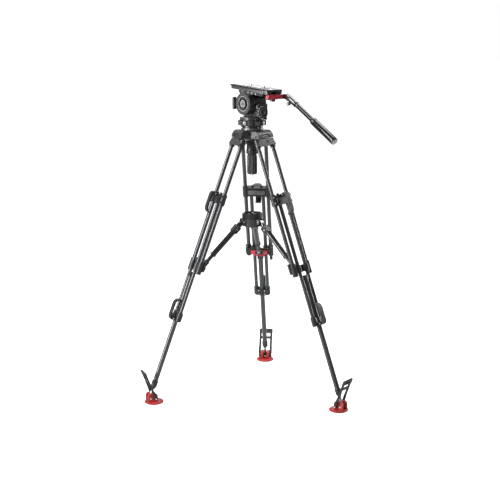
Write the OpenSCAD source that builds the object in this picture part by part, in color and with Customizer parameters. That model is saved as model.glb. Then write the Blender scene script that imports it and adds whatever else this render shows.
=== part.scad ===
// Two-stage twin-tube tripod with mid-level spreader and a fluid head.
// Units mm, +Z up, floor at z = 0, origin on the floor under the bowl axis.
// The head's lens direction is +Y and its tilt axis runs along X.

/* [Stance] */
// Lean of each leg from the vertical, degrees
leg_angle = 20.4; // [18:0.2:22]
// Azimuth of leg 1; the others follow at 120 degree steps
leg_azimuth = 41.2; // [30:1:50]
// Lens-up lean of the head in the stored pose, degrees
head_tilt = 4.8; // [0:0.2:8]

/* [Legs] */
// Spacing of the upper twin tubes, centre to centre
upper_spacing = 104.4; // [102:0.2:108]
// Spacing of the middle twin tubes, centre to centre
middle_spacing = 54.4; // [53.6:0.2:56]
// Upper tube radius
upper_r = 8.6; // [8:0.1:9]
// Middle tube radius
middle_r = 8.3; // [7.8:0.1:8.6]
// Lower tube radius
lower_r = 11.35; // [10.8:0.05:11.6]
// Top of the upper clamp below the shoulder hinge
upper_clamp_s = 262; // [200:1:300]
// Top of the lower clamp below the shoulder hinge
lower_clamp_s = 819; // [790:1:860]
// Top of the lower tube's guide below the shoulder hinge
guide_s = 632; // [630:1:660]
// Ankle pin height above the floor
ankle_z = 24; // [22:1:27]
// Foot disc diameter
foot_d = 84; // [76:1:88]

/* [Spreader] */
// Hub pivot circle radius
hub_pivot_r = 46; // [45:0.5:48]
// Hub pivot height
hub_pivot_z = 790; // [785:1:795]

/* [Head] */
// Half ball diameter
ball_d = 100; // [98:0.5:100]
// Tilt axis height
tilt_z = 1311; // [1309:1:1316]
// Camera plate length
plate_l = 244; // [200:1:260]
// Camera plate width
plate_w = 90; // [80:1:90]
// Plate offset from the tilt axis, negative is towards the operator
plate_y = -20; // [-40:1:20]
// Drop of the pan bar below the platform line, degrees
bar_drop = 26.6; // [20:0.2:34]
// Pan bar length behind the clamp
bar_l = 331; // [300:1:360]

/* [Hidden] */
$fn = 48;
eps = 0.01;
hinge_r = 64;
hinge_z = 1170;
n_up = -5;
n_mid = 3;
ball_z = 1196;
sh_z = 1163.5;
sh_top = 1197;
sh_w = 23.6;
piv_n = -34;
piv_s = 600;
bk_top = 575;
bk_bot = 628;
a = leg_angle;
ankle_s = (hinge_z + n_mid*sin(a) - ankle_z)/cos(a);
ankle_rad = hinge_r + n_mid*cos(a) + ankle_s*sin(a);
piv_rad = hinge_r + piv_n*cos(a) + piv_s*sin(a);
piv_z = hinge_z + piv_n*sin(a) - piv_s*cos(a);
arm_l = sqrt(pow(piv_rad - hub_pivot_r, 2) + pow(hub_pivot_z - piv_z, 2));
arm_drop = atan2(hub_pivot_z - piv_z, piv_rad - hub_pivot_r);
cav = 0.3;
black = [0.09, 0.09, 0.10];
dark = [0.16, 0.16, 0.17];
grey = [0.42, 0.43, 0.44];
carbon = [0.14, 0.15, 0.16];
red = [0.78, 0.08, 0.10];
steel = [0.62, 0.62, 0.63];

function az(k) = leg_azimuth + 120*(k - 1);

// Radial frame of leg k: x outward, y tangential, z up, origin on the axis.
module radial(k) { rotate([0, 0, az(k)]) children(); }
// Leg frame: origin on the shoulder hinge, x outward normal, y tangential, -z down the leg.
module legf(k) { radial(k) translate([hinge_r, 0, hinge_z]) rotate([0, -a, 0]) children(); }
// Cylinder along the tangential axis.
module tcyl(r, l, f = 40) { rotate([90, 0, 0]) cylinder(r = r, h = l, center = true, $fn = f); }
// Box from low to high corner.
module bx(p, q) { translate(p) cube([q[0]-p[0], q[1]-p[1], q[2]-p[2]]); }
// Round bar down the leg from s0 to s1 at normal n and tangential t.
module bar(n, t, s0, s1, r, f = 48) { translate([n, t, -s1]) cylinder(r = r, h = s1 - s0, $fn = f); }
// Box in the leg frame given n, t and s ranges.
module lb(n0, n1, t0, t1, s0, s1) { bx([n0, t0, -s1], [n1, t1, -s0]); }
// Rounded-corner plate in the t, s plane between n0 and n1.
module rplate(n0, n1, tw, s0, s1, r) {
  lb(n0, n1, -tw, tw, s0 + r, s1 - r);
  lb(n0, n1, -tw + r, tw - r, s0, s1);
  for (t = [-1, 1], s = [s0 + r, s1 - r])
    translate([n0, t*(tw - r), -s]) rotate([0, 90, 0]) cylinder(r = r, h = n1 - n0, $fn = 24);
}
// Profile in the n, s plane extruded symmetrically along t.
module prof(pts, w) { rotate([90, 0, 0]) linear_extrude(height = w, center = true) polygon([for (p = pts) [p[0], -p[1]]]); }

// ---------- leg ----------
module shoulder_bracket(k) color(black) legf(k) difference() {
  union() {
    tcyl(9, 56);
    lb(-8, 8, -28, 28, 0, 20);
    // tapered cheek plate
    translate([-14, 0, 0]) rotate([0, 90, 0]) linear_extrude(height = 22.4)
      polygon([[13, -40], [24, -56], [42, -64], [42, 64], [24, 56], [13, 40]]);
    for (t = [-1, 1]) {
      bar(n_up, t*upper_spacing/2, 14, 50, 12.4);
      translate([n_up, t*upper_spacing/2, -14]) cylinder(r1 = 12.4, r2 = 8, h = 4);
      lb(-17, -14 + eps, t > 0 ? 32 : -44, t > 0 ? 44 : -32, 16, 40);
    }
  }
  rotate([90, 0, 0]) cylinder(r = 4.05, h = 70, center = true);
  for (t = [-1, 1]) bar(n_up, t*upper_spacing/2, 24, 60, upper_r);
  // relief pocket on the inner face
  lb(-20, -8, -30, 30, 26, 38);
}
module upper_tubes(k) color(carbon) legf(k)
  for (t = [-1, 1]) bar(n_up, t*upper_spacing/2, 24, 615, upper_r);
module spreader_bracket(k) color(black) legf(k) difference() {
  union() {
    for (t = [-1, 1]) {
      bar(n_up, t*upper_spacing/2, bk_top, bk_bot, 12.4);
      translate([n_up, t*upper_spacing/2, -bk_bot - 3]) cylinder(r1 = 9, r2 = 12.4, h = 3);
      bar(n_mid, t*middle_spacing/2, 585, 617, 12.3);
      if (k == 1 && t < 0) bar(n_up, t*upper_spacing/2, bk_bot + 3 - eps, 652, 7.2, 32);
      lb(-8, 6, t > 0 ? 34 : -46, t > 0 ? 46 : -34, 587, 615);
      lb(-16, -2, t > 0 ? 20 : -34, t > 0 ? 34 : -20, 587, 615);
      lb(-24, -16, t > 0 ? 54 : -65, t > 0 ? 65 : -54, 568, 612);
      // fork for the spreader arm
      lb(-36, -22, t > 0 ? 10.4 : -16, t > 0 ? 16 : -10.4, 590, 610);
      translate([piv_n, t*13.2, -piv_s]) tcyl(10, 5.6);
    }
    lb(-24, -13.9, -62, 62, 584, 616);
    // arm pin
    translate([piv_n, 0, -piv_s]) tcyl(3.5, 33);
  }
  for (t = [-1, 1]) {
    bar(n_up, t*upper_spacing/2, 500, 615, upper_r);
    bar(n_mid, t*middle_spacing/2, 560, 660, middle_r + 0.05);
  }
  // window in the cross bar behind the arm end
  lb(-26, -10, -17.2, 17.2, 580, 583.9);
}
module upper_clamp(k) color(black) legf(k) difference() {
  union() {
    for (t = [-1, 1]) {
      bar(n_up, t*upper_spacing/2, upper_clamp_s, upper_clamp_s + 51, 13);
      bar(0, t*20, upper_clamp_s - 4, upper_clamp_s + 6, 6, 32);
      // lever ears
      lb(8, 22, t > 0 ? 13.4 : -19, t > 0 ? 19 : -13.4, upper_clamp_s + 2, upper_clamp_s + 16);
      translate([22, t*16.2, -(upper_clamp_s + 9)]) tcyl(7, 5.6);
      // side ribs
      lb(-16, 10, t > 0 ? 44 : -62, t > 0 ? 62 : -44, upper_clamp_s + 8, upper_clamp_s + 16);
      lb(-16, 10, t > 0 ? 44 : -62, t > 0 ? 62 : -44, upper_clamp_s + 34, upper_clamp_s + 42);
    }
    lb(-15, 13, -50, 50, upper_clamp_s + 4, upper_clamp_s + 47);
    lb(8, 16, -40, 40, upper_clamp_s + 22, upper_clamp_s + 44);
    rplate(-17.5, -14, 43, upper_clamp_s + 12, upper_clamp_s + 38, 8);
    translate([22, 0, -(upper_clamp_s + 9)]) tcyl(2.5, 37.6);
  }
  for (t = [-1, 1]) {
    bar(n_up, t*upper_spacing/2, upper_clamp_s - 20, upper_clamp_s + 80, upper_r + 0.05);
    bar(n_mid, t*middle_spacing/2, upper_clamp_s + 20, upper_clamp_s + 80, middle_r);
  }
}
module middle_tubes(k) color(carbon) legf(k)
  for (t = [-1, 1]) bar(n_mid, t*middle_spacing/2, upper_clamp_s + 20, lower_clamp_s + 22, middle_r);
module lower_clamp(k) color(black) legf(k) difference() {
  union() {
    for (t = [-1, 1]) {
      bar(n_mid, t*middle_spacing/2, lower_clamp_s, lower_clamp_s + 36, 12.4);
      translate([n_mid, t*middle_spacing/2, -(lower_clamp_s + 41)]) cylinder(r1 = 9, r2 = 12.4, h = 5);
      lb(8, 22, t > 0 ? 13.4 : -19, t > 0 ? 19 : -13.4, lower_clamp_s + 26, lower_clamp_s + 40);
      translate([22, t*16.2, -(lower_clamp_s + 33)]) tcyl(7, 5.6);
      for (s = [11, 30]) translate([-12.6, t*14, -(lower_clamp_s + s)]) rotate([0, 90, 0]) cylinder(r = 2.6, h = 3, center = true, $fn = 20);
    }
    lb(-11.5, 15, -28, 28, lower_clamp_s + 5, lower_clamp_s + 36);
    translate([0, 0, -(lower_clamp_s + 41)]) linear_extrude(height = 5 + eps) polygon([[-9, -24], [13, -24], [13, 24], [-9, 24]]);
    bar(n_mid, 0, lower_clamp_s + 2, lower_clamp_s + 41, 13);
    translate([22, 0, -(lower_clamp_s + 33)]) tcyl(2.5, 37.6);
  }
  bar(n_mid, 0, lower_clamp_s - 20, lower_clamp_s + 80, lower_r + 0.05);
  for (t = [-1, 1]) bar(n_mid, t*middle_spacing/2, lower_clamp_s - 20, lower_clamp_s + 22, middle_r);
}
module lower_tube(k) color(carbon) legf(k) {
  bar(n_mid, 0, guide_s + 12, 1166, lower_r);
  // top guide
  difference() {
    union() {
      lb(-7.5, 13.5, -14.4, 14.4, guide_s + 3, guide_s + 20);
      bar(n_mid, 0, guide_s, guide_s + 4, 9.5);
    }
    bar(n_mid, 0, guide_s + 12, guide_s + 40, lower_r);
  }
  // ferrule and spike
  difference() { bar(n_mid, 0, 1142, 1172, 13.6); bar(n_mid, 0, 1100, 1166, lower_r); }
  translate([n_mid, 0, -1180]) cylinder(r1 = 7, r2 = 11.5, h = 8);
  bar(n_mid, 0, 1180, ankle_s - 6, 6.4);
  translate([n_mid, 0, -ankle_s]) tcyl(8, 17);
  translate([n_mid, 0, -ankle_s]) tcyl(3.9, 41.6);
}
module upper_lever(k) color(black) legf(k) difference() {
  union() {
    prof([[17, upper_clamp_s + 3], [28, upper_clamp_s], [36, upper_clamp_s + 4], [40.5, upper_clamp_s + 14], [40.5, upper_clamp_s + 74], [38, upper_clamp_s + 86],
      [30, upper_clamp_s + 96], [17.5, upper_clamp_s + 99], [17, upper_clamp_s + 94], [27, upper_clamp_s + 90], [32, upper_clamp_s + 80], [34, upper_clamp_s + 40], [31, upper_clamp_s + 22], [26, upper_clamp_s + 16], [17, upper_clamp_s + 15]], 26);
  }
  translate([22, 0, -(upper_clamp_s + 9)]) tcyl(2.55, 60);
}
module lower_lever(k) color(black) legf(k) difference() {
  union() {
    translate([22, 0, -(lower_clamp_s + 33)]) tcyl(5.6, 26);
    prof([[21, lower_clamp_s + 38.4], [28, lower_clamp_s + 41], [36, lower_clamp_s + 37], [40.5, lower_clamp_s + 26], [40.5, lower_clamp_s - 32], [38, lower_clamp_s - 44],
      [30, lower_clamp_s - 54], [17.5, lower_clamp_s - 57], [17, lower_clamp_s - 52], [27, lower_clamp_s - 48], [32, lower_clamp_s - 38], [34, lower_clamp_s + 2], [31, lower_clamp_s + 20], [26, lower_clamp_s + 26], [21, lower_clamp_s + 27.6]], 26);
  }
  translate([22, 0, -(lower_clamp_s + 33)]) tcyl(2.55, 60);
}
// Foot frame: origin on the floor under the ankle pin, x outward.
module footf(k) { radial(k) translate([ankle_rad, 0, 0]) children(); }
module foot(k) color(red) footf(k) difference() {
  union() {
    translate([-20, 0, 0]) rotate_extrude($fn = 72)
      polygon([[0, 0], [foot_d/2 - 5, 0], [foot_d/2, 3], [foot_d/2, 7], [foot_d/2 - 3, 9.5], [foot_d/2 - 12, 11], [0, 11]]);
    for (t = [-1, 1]) {
      bx([-32, t > 0 ? 9 : -20.5, 5], [13, t > 0 ? 20.5 : -9, 34]);
      translate([-20, t*14.75, 34]) tcyl(12, 11.5);
      translate([1, t*14.75, 34]) tcyl(12, 11.5);
      bx([-20, t > 0 ? 9 : -20.5, 33], [1, t > 0 ? 20.5 : -9, 46]);
      // bail pivot pins
      translate([-20, t*26, ankle_z]) tcyl(3, 12);
    }
  }
  translate([0, 0, ankle_z]) tcyl(3.95, 80);
}
module foot_bail(k) color(black) footf(k) translate([-20, 0, ankle_z]) rotate([0, 21, 0]) difference() {
  union() {
    for (t = [-1, 1]) {
      translate([0, t*27, 0]) tcyl(7, 10);
      bx([-4, t > 0 ? 22 : -32, 0], [4, t > 0 ? 32 : -22, 122]);
    }
    bx([-4, -33, 112], [5, 33, 132]);
    bx([-2, -24, 84], [4, 24, 96]);
    translate([2, 0, 132]) tcyl(3, 60);
  }
  tcyl(3.05, 80);
}
// Arm frame: origin on the hub pivot, x along the arm, y tangential.
module armf(k) { radial(k) translate([hub_pivot_r, 0, hub_pivot_z]) rotate([0, arm_drop, 0]) children(); }
module spreader_inner_arm(k) color(dark) armf(k) difference() {
  union() {
    tcyl(8, 20);
    bx([0, -10, -7.5], [20, 10, 7.5]);
    translate([14, 0, 0]) rotate([0, 90, 0]) cylinder(r = 12, h = 191);
    bx([30, -16.5, -12.5], [64, 16.5, 12.5]);
    translate([193, 0, 0]) rotate([0, 90, 0]) cylinder(r = 13.5, h = 12);
  }
  tcyl(3.05, 60);
  translate([20, 0, 0]) rotate([0, 90, 0]) cylinder(r = 9.7, h = 200);
}
module spreader_outer_arm(k) color(dark) armf(k) difference() {
  union() {
    translate([42, 0, 0]) rotate([0, 90, 0]) cylinder(r = 8.6, h = arm_l - 52);
    bx([arm_l - 38, -9.6, -9.2], [arm_l - 4, 9.6, 9.2]);
    translate([arm_l, 0, 0]) tcyl(8.6, 19.2);
  }
  translate([arm_l, 0, 0]) tcyl(3.55, 60);
}
module spreader_release(k) color(red) legf(k) {
  for (t = [-1, 1]) {
    prof2(t);
  }
  translate([-34, 0, -616]) tcyl(3, 48);
}
module prof2(t) { lb(-38, -25.5, t > 0 ? 18 : -38, t > 0 ? 38 : -18, 592, 607); lb(-37, -31, t > 0 ? 18 : -24, t > 0 ? 24 : -18, 600, 616); }

// ---------- spider, hub ----------
module spider_bowl() color(black) difference() {
  union() {
    intersection() { translate([0, 0, ball_z]) sphere(r = 55, $fn = 96); bx([-80, -80, 1100], [80, 80, 1190]); }
    translate([0, 0, 1185]) cylinder(r = 60, h = 13, $fn = 96);
    for (k = [1:3]) radial(k) {
      difference() {
        intersection() {
          // side profile, curving from the rim down to the leg's outer face
          rotate([90, 0, 0]) linear_extrude(height = 120, center = true)
            polygon(concat([[38, sh_z], [38, sh_top], [52, sh_top]],
              [for (i = [1:7]) [52 + sh_w*sin(90*i/7), sh_z + 2 + (sh_top - sh_z - 2)*cos(90*i/7)]], [[52 + sh_w, sh_z]]));
          // face profile, narrower at the top with round corners
          translate([30, 0, 0]) rotate([90, 0, 90]) linear_extrude(height = 60)
            polygon(concat([[-57, sh_z]], [for (i = [0:5]) [-42 - 10*cos(18*i), sh_top - 10 + 10*sin(18*i)]],
              [for (i = [0:5]) [42 + 10*sin(18*i), sh_top - 10 + 10*cos(18*i)]], [[57, sh_z]]));
        }
        // room for the hinge barrel and its web
        bx([53, -28.4, sh_z - 5], [90, 28.4, hinge_z + 10]);
      }
      for (t = [-1, 1]) translate([hinge_r, t*33.7, hinge_z]) tcyl(10, 10.6);
      for (t = [-1, 1]) bx([40, t > 0 ? 28.4 : -39, hinge_z - 9], [hinge_r, t > 0 ? 39 : -28.4, sh_z + 1]);
    }
  }
  translate([0, 0, ball_z]) sphere(r = ball_d/2 + cav, $fn = 96);
  translate([0, 0, ball_z]) cylinder(r = ball_d/2 + cav, h = 40, $fn = 96);
  translate([0, 0, 1100]) cylinder(r = 22, h = 60);
  for (k = [1:3]) radial(k) translate([hinge_r, 0, hinge_z]) tcyl(4, 130);
}
module hinge_bolts() color(steel) for (k = [1:3]) radial(k) translate([hinge_r, 0, hinge_z]) tcyl(4, 100);
module spreader_hub() color(dark) {
  difference() {
    union() {
      translate([0, 0, 765]) cylinder(r1 = 41, r2 = 43.5, h = 4, $fn = 72);
      translate([0, 0, 769]) cylinder(r = 43.5, h = 53, $fn = 72);
      translate([0, 0, 822]) cylinder(r1 = 43.5, r2 = 42, h = 4, $fn = 72);
      for (k = [1:3]) radial(k) for (t = [-1, 1]) bx([34, t > 0 ? 12.6 : -19, hub_pivot_z - 11], [53, t > 0 ? 19 : -12.6, hub_pivot_z + 11]);
    }
    translate([0, 0, 806]) cylinder(r = 38, h = 40, $fn = 72);
    for (k = [1:3]) radial(k) bx([31, -12.6, 700], [70, 12.6, hub_pivot_z + 13]);
  }
  translate([0, 0, 806 - eps]) cylinder(r = 5, h = 19);
  translate([0, 0, 806 - eps]) cylinder(r = 12, h = 5);
  for (k = [1:3]) radial(k) translate([hub_pivot_r, 0, hub_pivot_z]) tcyl(3, 36);
}

// ---------- head ----------
module half_ball() color(steel) {
  difference() {
    translate([0, 0, ball_z]) sphere(r = ball_d/2, $fn = 96);
    bx([-60, -60, 1197.5], [60, 60, 1300]);
    bx([-60, -60, 1100], [60, 60, 1152]);
  }
  translate([0, 0, 1197]) cylinder(r = 48, h = 19.6, $fn = 72);
  translate([0, 0, 1216]) cylinder(r = 45.5, h = 22.2, $fn = 72);
  translate([0, 0, 1025]) cylinder(r = 6, h = 130, $fn = 32);
}
module tie_down_handle() color(black) difference() {
  union() {
    translate([0, 0, 1106]) cylinder(r = 24, h = 42, $fn = 64);
    translate([0, 0, 1091]) cylinder(r1 = 25, r2 = 26, h = 15, $fn = 64);
    translate([0, 0, 1084]) cylinder(r1 = 18, r2 = 22, h = 7.1, $fn = 64);
    translate([0, 0, 1000]) cylinder(r = 18.5, h = 86);
    for (i = [0:5]) rotate([0, 0, 60*i]) translate([15, 0, 1002]) cylinder(r = 7.6, h = 82, $fn = 28);
  }
  translate([0, 0, ball_z]) sphere(r = 55.3, $fn = 96);
  translate([0, 0, 1024]) cylinder(r = 6.05, h = 130, $fn = 32);
}
module pan_drag_ring() color(dark) difference() {
  translate([0, 0, 1217]) cylinder(r = 61, h = 20.6, $fn = 72);
  translate([0, 0, 1210]) cylinder(r = 45.58, h = 40, $fn = 72);
  for (i = [0:11]) rotate([0, 0, 30*i]) translate([67, 0, 1210]) cylinder(r = 9, h = 40, $fn = 28);
}
module pan_housing() color(black) difference() {
  union() {
    translate([0, 0, 1238.6]) cylinder(r = 52.5, h = 14.4, $fn = 72);
    bx([-17, -38, 1252], [38, 38, tilt_z]);
    translate([-17, 0, tilt_z]) rotate([0, 90, 0]) cylinder(r = 40, h = 55, $fn = 72);
    bx([-17, -61, 1256], [36, -36, tilt_z]);
    // left boss carries the tilt drag ring
    translate([-31.7, 0, tilt_z]) rotate([0, 90, 0]) cylinder(r = 20, h = 16);
    // front ear carries the tilt brake
    bx([-17, 36, 1286], [10, 58, 1304]);
    bx([-46, 49.5, 1288], [-16, 58, 1303]);
  }
  translate([-60, 0, tilt_z]) rotate([0, 90, 0]) cylinder(r = 12.05, h = 130);
}
module pan_brake_lever() color(black) rotate([0, 0, -46]) {
  translate([52.9, 0, 1246]) rotate([0, 90, 0]) cylinder(r = 5.2, h = 6);
  translate([58, 0, 1246]) rotate([0, 90, 0]) cylinder(r = 6.4, h = 7);
  bx([59, 0, 1242], [64, 28, 1250]);
}
module tiltf() { translate([0, 0, tilt_z]) rotate([head_tilt, 0, 0]) children(); }
module tilt_cradle() color(black) tiltf() {
  difference() {
    union() {
      translate([-53, 0, 0]) rotate([0, 90, 0]) cylinder(r = 47.5, h = 20.9, $fn = 96);
      bx([-46, -32, 30], [-32.1, 32, 50]);
      translate([38.4, 0, 0]) rotate([0, 90, 0]) cylinder(r = 38, h = 11.6, $fn = 72);
      bx([38.4, -32, 20], [50, 32, 50]);
      bx([-46, -116, 46], [50, 40, 56]);
      bx([-34, -134, 50.4], [34, -115, 56]);
      bx([44, -114, 32], [52, -82, 50]);
      // T rail under the plate
      bx([-14, -100, 55], [14, 38, 62]);
      bx([-20, -100, 62 - eps], [20, 38, 66]);
      translate([52, -98, 42]) rotate([0, -90, 0]) cylinder(r = 14, h = 12);
      // lock knob under the platform
      translate([6, -100, 28]) cylinder(r = 12, h = 19);
      // trunnion
      translate([-33, 0, 0]) rotate([0, 90, 0]) cylinder(r = 12, h = 73);
    }
    // recess around the left rosette
    translate([-53 - eps, 0, 0]) rotate([0, 90, 0]) difference() { cylinder(r = 32, h = 9, $fn = 72); translate([0, 0, -1]) cylinder(r = 17, h = 12); }
    translate([-24, -126, 30]) cylinder(r = 3.05, h = 20.3, $fn = 24);
  }
  // release lever pin
  translate([-24, -126, 32]) cylinder(r = 3, h = 20, $fn = 24);
}
module tilt_drag_dial() color(dark) translate([-31.7, 0, tilt_z]) difference() {
  rotate([0, 90, 0]) cylinder(r = 45.4, h = 11.2, $fn = 96);
  translate([-5, 0, 0]) rotate([0, 90, 0]) cylinder(r = 20.06, h = 40);
  for (i = [0:23]) rotate([15*i, 0, 0]) translate([3, -1.6, 43.9]) cube([5.5, 3.2, 5]);
}
module counterbalance_knob() color(dark) translate([0, -61.4, 1275]) rotate([90, 0, 0]) difference() {
  union() { cylinder(r = 24, h = 4); translate([0, 0, 3]) cylinder(r = 26, h = 11, $fn = 72); }
  for (i = [0:11]) rotate([0, 0, 30*i]) translate([28.5, 0, 2]) cylinder(r = 4.6, h = 20, $fn = 20);
}
module tilt_brake_lever() color(grey) difference() {
  union() {
    bx([-62, 49.5, 1291], [-46.6, 60.5, 1334]);
    translate([-62, 55, 1334]) rotate([0, 90, 0]) cylinder(r = 5.5, h = 15.4, $fn = 24);
    translate([-62, 55, 1291]) rotate([0, 90, 0]) cylinder(r = 5.5, h = 15.4, $fn = 24);
  }
}
module camera_plate() color(black) tiltf() translate([0, plate_y, 0]) difference() {
  union() {
    bx([-plate_w/2 + 2, -plate_l/2 + 1, 56.4], [plate_w/2 - 2, plate_l/2 - 1, 69]);
    bx([-plate_w/2, -plate_l/2, 69 - eps], [plate_w/2, plate_l/2, 76]);
  }
  bx([-14.4, -200, 50], [14.4, 200, 62.4]);
  bx([-20.4, -200, 61.6], [20.4, 200, 66.4]);
  // lengthwise screw slots
  for (y = [-62, 40]) bx([-6, y - 22, 60], [6, y + 22, 80]);
  for (x = [-34, 34]) bx([x - 5, -plate_l/2 + 14, 75], [x + 5, plate_l/2 - 14, 80]);
}
module camera_screws() color(steel) tiltf() translate([0, plate_y, 0]) {
  translate([0, -50, 67]) { cylinder(r = 4.7625, h = 17, $fn = 32); }
  translate([0, 34, 67]) { cylinder(r = 3.175, h = 17, $fn = 32); }
  for (y = [-50, 34]) translate([0, y, 67]) cylinder(r = 5.15, h = 8, $fn = 32);
}
module plate_release_lever() color(red) tiltf() difference() {
  union() {
    bx([-24, -134, 37], [30, -118, 49.8]);
    translate([-24, -126, 37]) cylinder(r = 8, h = 12.8);
    bx([-24, -144, 37], [40, -126, 49.8]);
    // raised fascia behind the plate
    bx([-38, -150, 37], [42, -142.4, 56]);
    translate([-38, -146.2, 37]) cylinder(r = 3.8, h = 19);
    translate([42, -146.2, 37]) cylinder(r = 3.8, h = 19);
    // thumb knob
    translate([2, -131, 25]) cylinder(r = 10, h = 12.5);
  }
  translate([-24, -126, 30]) cylinder(r = 3.05, h = 30, $fn = 24);
}
// Pan bar frame: origin at the front of the bar, -y along the bar.
module barf() { tiltf() translate([68, -160, 44]) rotate([bar_drop, 0, 0]) children(); }
module pan_bar_clamp() color(black) difference() {
 union() {
  tiltf() {
    translate([52.3, -98, 42]) rotate([0, 90, 0]) cylinder(r = 14, h = 8);
    translate([60, -98, 42]) rotate([0, 90, 0]) cylinder(r = 9, h = 8);
    bx([53.5, -158, 36], [60.2, -98, 50]);
    // wing screw
    bx([54.5, -150, 50 - eps], [58, -136, 56]);
  }
  barf() {
      translate([0, 6, 0]) rotate([90, 0, 0]) cylinder(r = 13.4, h = 62);
      bx([-14.5, -14, -10], [-4, 6, 10]);
      translate([0, -16, -22]) cylinder(r = 5, h = 12, $fn = 28);
      translate([0, -16, -26]) cylinder(r = 7.5, h = 6, $fn = 28);
  }
 }
 barf() translate([0, 16, 0]) rotate([90, 0, 0]) cylinder(r = 10.55, h = 120);
}
module pan_bar_tube() color(carbon) barf() translate([0, 14, 0]) rotate([90, 0, 0]) cylinder(r = 10.5, h = 14 + 170);
module pan_bar_grip() color(black) barf() {
  translate([0, -170, 0]) rotate([90, 0, 0]) {
    cylinder(r1 = 12, r2 = 16, h = 8);
    translate([0, 0, 8 - eps]) cylinder(r = 16.6, h = bar_l - 170 - 16 + 2*eps);
    translate([0, 0, bar_l - 170 - 8]) cylinder(r1 = 16.6, r2 = 15, h = 8);
  }
}

module leg_1_shoulder_bracket() shoulder_bracket(1);
module leg_1_upper_tubes() upper_tubes(1);
module leg_1_spreader_bracket() spreader_bracket(1);
module leg_1_upper_clamp() upper_clamp(1);
module leg_1_middle_tubes() middle_tubes(1);
module leg_1_lower_clamp() lower_clamp(1);
module leg_1_lower_tube() lower_tube(1);
module leg_1_upper_lever() upper_lever(1);
module leg_1_lower_lever() lower_lever(1);
module leg_1_foot() foot(1);
module leg_1_foot_bail() foot_bail(1);
module leg_1_spreader_inner_arm() spreader_inner_arm(1);
module leg_1_spreader_outer_arm() spreader_outer_arm(1);
module leg_1_spreader_release() spreader_release(1);
module leg_2_shoulder_bracket() shoulder_bracket(2);
module leg_2_upper_tubes() upper_tubes(2);
module leg_2_spreader_bracket() spreader_bracket(2);
module leg_2_upper_clamp() upper_clamp(2);
module leg_2_middle_tubes() middle_tubes(2);
module leg_2_lower_clamp() lower_clamp(2);
module leg_2_lower_tube() lower_tube(2);
module leg_2_upper_lever() upper_lever(2);
module leg_2_lower_lever() lower_lever(2);
module leg_2_foot() foot(2);
module leg_2_foot_bail() foot_bail(2);
module leg_2_spreader_inner_arm() spreader_inner_arm(2);
module leg_2_spreader_outer_arm() spreader_outer_arm(2);
module leg_2_spreader_release() spreader_release(2);
module leg_3_shoulder_bracket() shoulder_bracket(3);
module leg_3_upper_tubes() upper_tubes(3);
module leg_3_spreader_bracket() spreader_bracket(3);
module leg_3_upper_clamp() upper_clamp(3);
module leg_3_middle_tubes() middle_tubes(3);
module leg_3_lower_clamp() lower_clamp(3);
module leg_3_lower_tube() lower_tube(3);
module leg_3_upper_lever() upper_lever(3);
module leg_3_lower_lever() lower_lever(3);
module leg_3_foot() foot(3);
module leg_3_foot_bail() foot_bail(3);
module leg_3_spreader_inner_arm() spreader_inner_arm(3);
module leg_3_spreader_outer_arm() spreader_outer_arm(3);
module leg_3_spreader_release() spreader_release(3);

leg_1_shoulder_bracket();
leg_1_upper_tubes();
leg_1_spreader_bracket();
leg_1_upper_clamp();
leg_1_middle_tubes();
leg_1_lower_clamp();
leg_1_lower_tube();
leg_1_upper_lever();
leg_1_lower_lever();
leg_1_foot();
leg_1_foot_bail();
leg_1_spreader_inner_arm();
leg_1_spreader_outer_arm();
leg_1_spreader_release();
leg_2_shoulder_bracket();
leg_2_upper_tubes();
leg_2_spreader_bracket();
leg_2_upper_clamp();
leg_2_middle_tubes();
leg_2_lower_clamp();
leg_2_lower_tube();
leg_2_upper_lever();
leg_2_lower_lever();
leg_2_foot();
leg_2_foot_bail();
leg_2_spreader_inner_arm();
leg_2_spreader_outer_arm();
leg_2_spreader_release();
leg_3_shoulder_bracket();
leg_3_upper_tubes();
leg_3_spreader_bracket();
leg_3_upper_clamp();
leg_3_middle_tubes();
leg_3_lower_clamp();
leg_3_lower_tube();
leg_3_upper_lever();
leg_3_lower_lever();
leg_3_foot();
leg_3_foot_bail();
leg_3_spreader_inner_arm();
leg_3_spreader_outer_arm();
leg_3_spreader_release();
spider_bowl();
hinge_bolts();
spreader_hub();
half_ball();
tie_down_handle();
pan_drag_ring();
pan_housing();
pan_brake_lever();
tilt_cradle();
tilt_drag_dial();
counterbalance_knob();
tilt_brake_lever();
camera_plate();
camera_screws();
plate_release_lever();
pan_bar_clamp();
pan_bar_tube();
pan_bar_grip();
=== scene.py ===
import math

import bmesh
import bpy
from mathutils import Matrix, Vector


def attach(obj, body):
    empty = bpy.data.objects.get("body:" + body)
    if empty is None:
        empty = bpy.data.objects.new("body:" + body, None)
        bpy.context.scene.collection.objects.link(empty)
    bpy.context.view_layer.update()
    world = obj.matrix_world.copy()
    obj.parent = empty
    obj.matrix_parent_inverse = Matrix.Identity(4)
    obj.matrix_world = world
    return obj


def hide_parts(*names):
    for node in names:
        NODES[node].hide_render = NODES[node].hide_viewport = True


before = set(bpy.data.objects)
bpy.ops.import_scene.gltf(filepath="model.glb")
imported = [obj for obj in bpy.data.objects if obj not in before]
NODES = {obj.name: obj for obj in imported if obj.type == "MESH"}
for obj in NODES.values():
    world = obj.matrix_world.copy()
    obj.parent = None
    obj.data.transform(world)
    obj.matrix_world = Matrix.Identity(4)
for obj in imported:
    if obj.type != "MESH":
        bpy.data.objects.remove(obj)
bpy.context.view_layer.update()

rad = math.radians
MM = 0.001

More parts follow.
